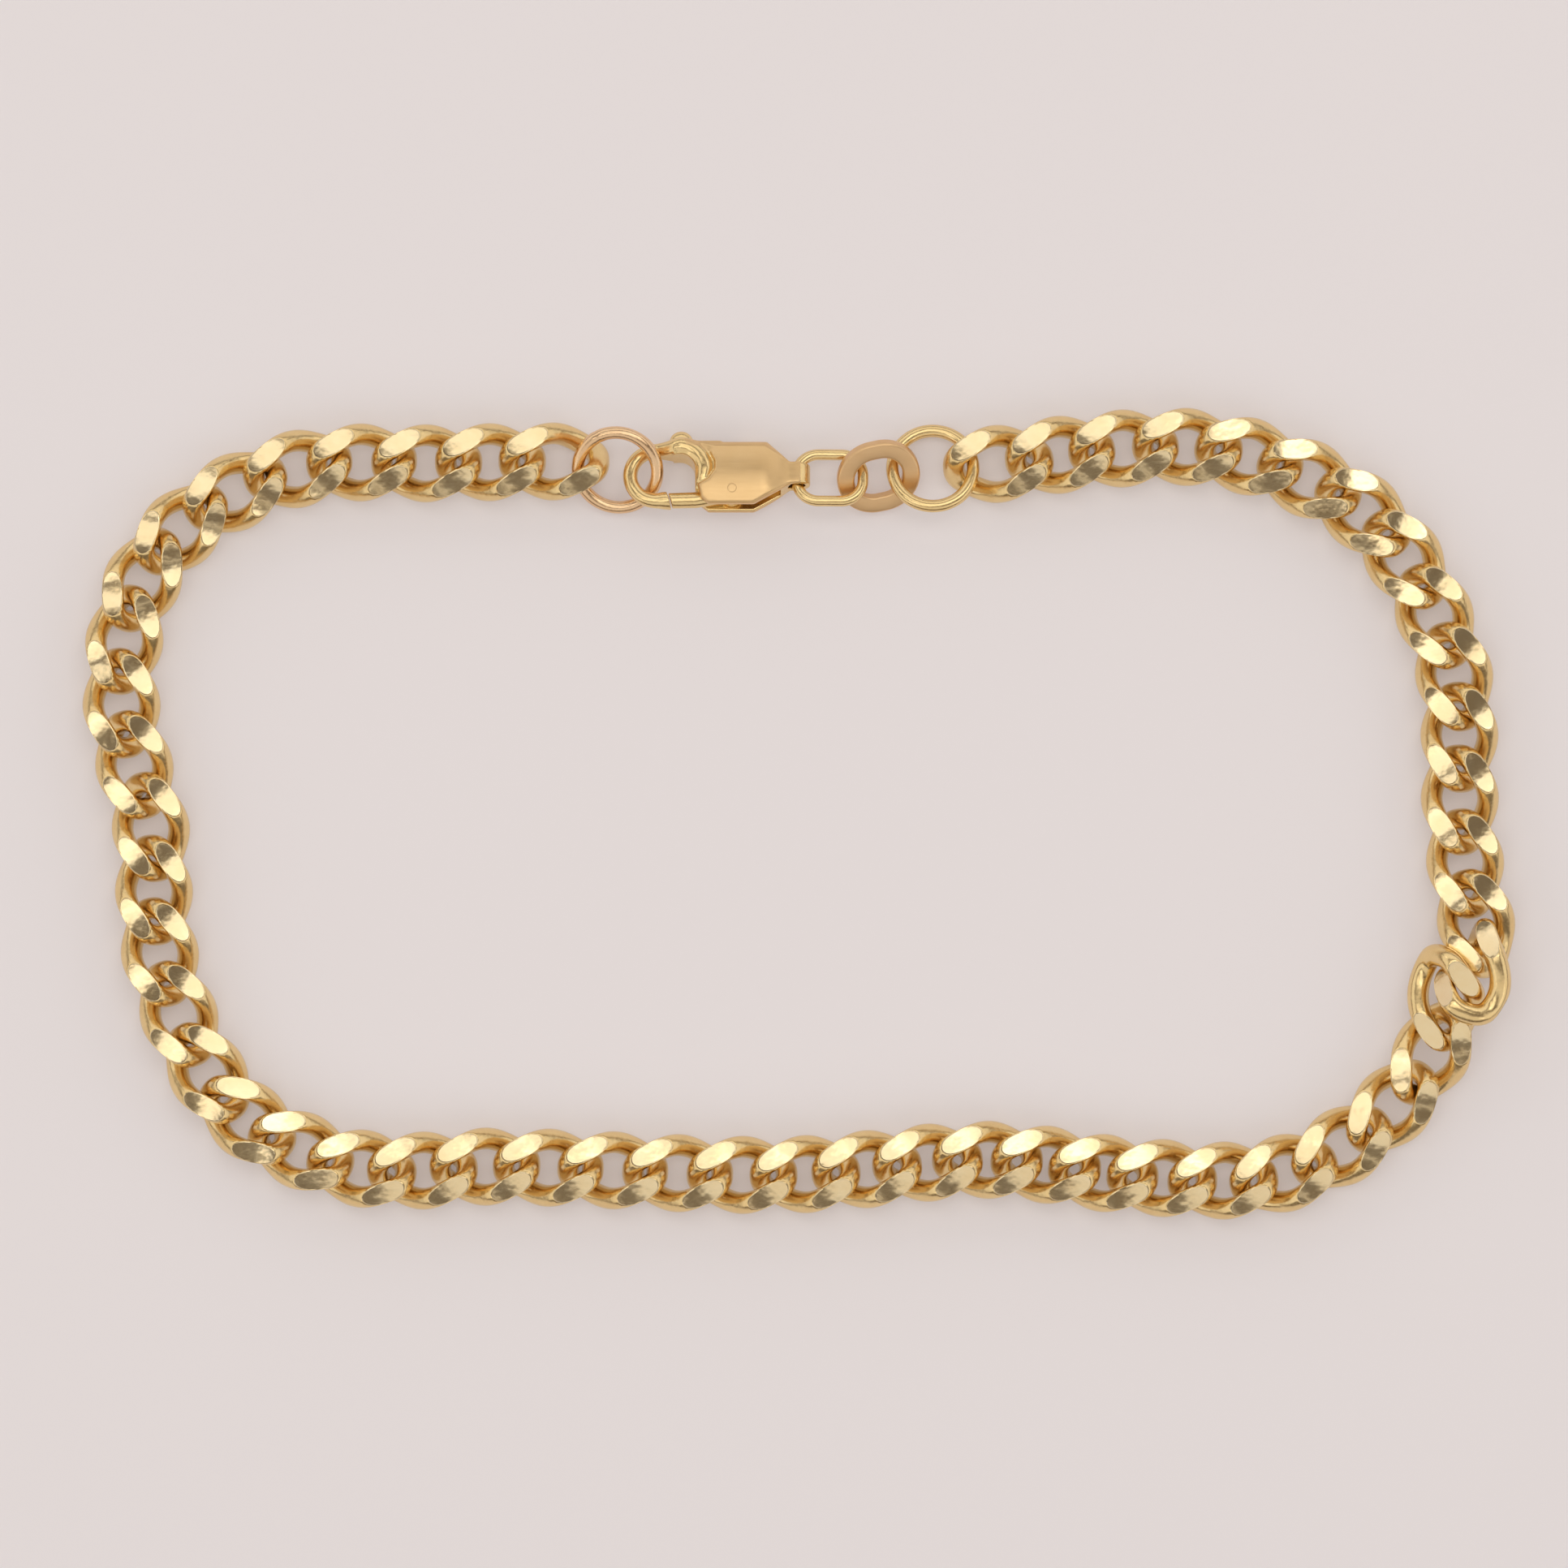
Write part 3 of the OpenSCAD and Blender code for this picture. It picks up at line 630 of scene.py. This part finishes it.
# The lever's pin
# A short wire rivet across both cheeks of the clasp, filed flush and brushed with them, so that
# only a faint round mark shows.
pin_radius = 0.28
pin_proud = 0.012
pin_edge = 0.03
pin_sides = 24
bm = bmesh.new()
ends = []
for end in (1, -1):
    rings = []
    for radius, drop in ((0.09, 0), (0.18, 0), (pin_radius - pin_edge, 0), (pin_radius, pin_edge)):
        spots = [(x, y, end * (face_height(x, y) + pin_proud - drop))
                 for x, y in arc(pin_place, radius, 0, 360, pin_sides)[:-1]]
        rings.append([bm.verts.new(Vector(spot) * MM) for spot in spots])
    middle = bm.verts.new(Vector((*pin_place, end * (face_height(*pin_place) + pin_proud))) * MM)
    for i in range(pin_sides):
        bm.faces.new((middle, rings[0][i - 1], rings[0][i]))
        for inner, outer in zip(rings, rings[1:]):
            bm.faces.new((inner[i - 1], outer[i - 1], outer[i], inner[i]))
    ends.append(rings[-1])
for i in range(pin_sides):
    bm.faces.new((ends[0][i - 1], ends[1][i - 1], ends[1][i], ends[0][i]))
bmesh.ops.recalc_face_normals(bm, faces=bm.faces)
bm.transform(in_clasp)
pin = new_piece("lever_pin_rivet", bm)
pin.data.materials.append(satin_gold)
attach(pin, "bracelet")
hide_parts("lever_pin")

# The tail ring
# A small oval ring of thin wire, bent round a former and soldered shut through the eye of the
# clasp, so that the clasp can swing on it.
tail_wire = 0.6 * MM
tail_length = 4.25 * MM
tail_width = 3.3 * MM
tail_corner = 1.2 * MM
tail_at = lying("tail_ring")
straight_x = (tail_length - tail_wire) / 2 - tail_corner
straight_y = (tail_width - tail_wire) / 2 - tail_corner
oval = []
for turn, (sx, sy) in enumerate(((1, 1), (-1, 1), (-1, -1), (1, -1))):
    oval += arc((sx * straight_x, sy * straight_y), tail_corner, 90 * turn, 90 * turn + 90, 24)
bm = bmesh.new()
swept(bm, [tail_at @ p for p in evenly_spaced([Vector((x, y, 0)) for x, y in oval], 110)],
      lambda i: round_wire(tail_wire / 2, 22), up=tail_at.to_3x3() @ Vector((0, 0, 1)))
tail = new_piece("tail_ring_wire", bm)
tail.data.materials.append(wire_gold)
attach(tail, "bracelet")
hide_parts("tail_ring")

# The connector link
# A flat oval link stamped from sheet, its edges broken with a file and its faces brushed. It
# joins the tail ring to the right jump ring.
connector_length = 4.6 * MM
connector_width = 4.2 * MM
connector_face = 0.95 * MM
connector_skew = 0.06
connector_thick = 0.65 * MM
connector_edge = 0.16 * MM
connector_at = lying("connector_link")
bend_radius = (connector_width - connector_face) / 2
straight = (connector_length - connector_width) / 2
middle_line = (arc((straight, 0), bend_radius, -90, 90, 60)
               + arc((-straight, 0), bend_radius, 90, 270, 60))
track = [Vector((x, y + connector_skew * x, 0)) for x, y in middle_line]


def sheet_edge():
    """Section of the flat metal with its rounded edges."""
    across, thick = connector_face / 2 - connector_edge, connector_thick / 2 - connector_edge
    points = []
    for turn, (sx, sy) in enumerate(((1, 1), (-1, 1), (-1, -1), (1, -1))):
        points += arc((sx * across, sy * thick), connector_edge, 90 * turn, 90 * turn + 90, 5)
    return points


bm = bmesh.new()
swept(bm, [connector_at @ p for p in evenly_spaced(track, 120)],
      lambda i: sheet_edge(), up=connector_at.to_3x3() @ Vector((0, 0, 1)))
connector = new_piece("connector_link_sheet", bm)
connector_gold = gold("brushed sheet gold", (0.84, 0.58, 0.32), (0.77, 0.49, 0.24), 0.32, 0.42,
                      0.01 * MM, 1.2 * MM, 0.002 * MM, 8000, (0.1, 1, 1))
connector.data.materials.append(connector_gold)
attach(connector, "bracelet")
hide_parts("connector_link")

# The right jump ring
# The same round ring as the left one in the chain's own gold, soldered through the connector
# and the last link.
jump_ring("right_jump_ring_wire", "right_jump_ring", wire_gold, math.radians(40))

# The table
# A smooth pale pinkish sheet that the bracelet lies on, well lit from above and, as on a light
# table, a little from below.
bm = bmesh.new()
bmesh.ops.create_grid(bm, x_segments=1, y_segments=1, size=0.6)
table = new_piece("table", bm)
sheet = bpy.data.materials.new("pale sheet")
sheet.use_nodes = True
glow = sheet.node_tree.nodes["Principled BSDF"].inputs
glow["Base Color"].default_value = (0.69, 0.65, 0.66, 1)
glow["Roughness"].default_value = 0.6
glow["Emission Color"].default_value = (1.0, 0.94, 0.95, 1)
glow["Emission Strength"].default_value = 0.2
table.data.materials.append(sheet)

# The light
# Strips of soft window light side by side overhead, pale panels on all four sides and a dim
# warm room. The flats that lean away catch the window, and those that lean forward the dark gap
# between the window and the near panel.


def soft_light(name, at, size, brightness, colour):
    """A soft panel that faces the bracelet. brightness is that of its surface."""
    light = bpy.data.lights.new(name, "AREA")
    light.shape = "RECTANGLE"
    light.size, light.size_y = size
    light.energy = brightness * math.pi * size[0] * size[1]
    light.color = colour
    lamp = bpy.data.objects.new(name, light)
    lamp.location = at
    lamp.rotation_euler = (-Vector(at)).to_track_quat("-Z", "Y").to_euler()
    bpy.context.scene.collection.objects.link(lamp)


soft_light("window", (-0.02, 0.05, 0.66), (0.95, 0.28), 1.12, (1.0, 0.98, 0.94))
soft_light("far_window", (-0.02, 0.315, 0.66), (0.95, 0.25), 1.0, (1.0, 0.98, 0.94))
soft_light("window_edge", (-0.02, -0.11, 0.66), (0.95, 0.04), 0.5, (1.0, 0.96, 0.90))
soft_light("far_panel", (0, 0.65, 0.32), (1.3, 0.45), 0.8, (1.0, 0.98, 0.96))
soft_light("near_panel", (0, -0.5, 0.5), (1.3, 0.56), 0.62, (1.0, 0.98, 0.96))
soft_light("left_panel", (-0.65, 0, 0.32), (1.3, 0.45), 0.75, (1.0, 0.98, 0.96))
soft_light("right_panel", (0.65, 0, 0.32), (1.3, 0.45), 0.75, (1.0, 0.98, 0.96))
world = bpy.data.worlds.new("dim room")
world.use_nodes = True
world.node_tree.nodes["Background"].inputs["Color"].default_value = (1.0, 0.84, 0.70, 1)
world.node_tree.nodes["Background"].inputs["Strength"].default_value = 0.16
bpy.context.scene.world = world

# The camera
# It looks straight down from well above, with a long lens, at the middle of the photograph's
# frame.
# Pixels a side, pixels a metre and the pixel over the middle of the part
photo_side = 1932
photo_scale = 22.35 * 1000
photo_zero = (987, 1003)
eye_height = 0.6
view = bpy.data.cameras.new("camera")
view.sensor_width = 36
view.lens = view.sensor_width * eye_height / (photo_side / photo_scale)
eye = bpy.data.objects.new("camera", view)
eye.location = ((photo_side / 2 - photo_zero[0]) / photo_scale,
                -(photo_side / 2 - photo_zero[1]) / photo_scale, eye_height)
bpy.context.scene.collection.objects.link(eye)
bpy.context.scene.camera = eye
bpy.context.scene.view_settings.view_transform = "Standard"
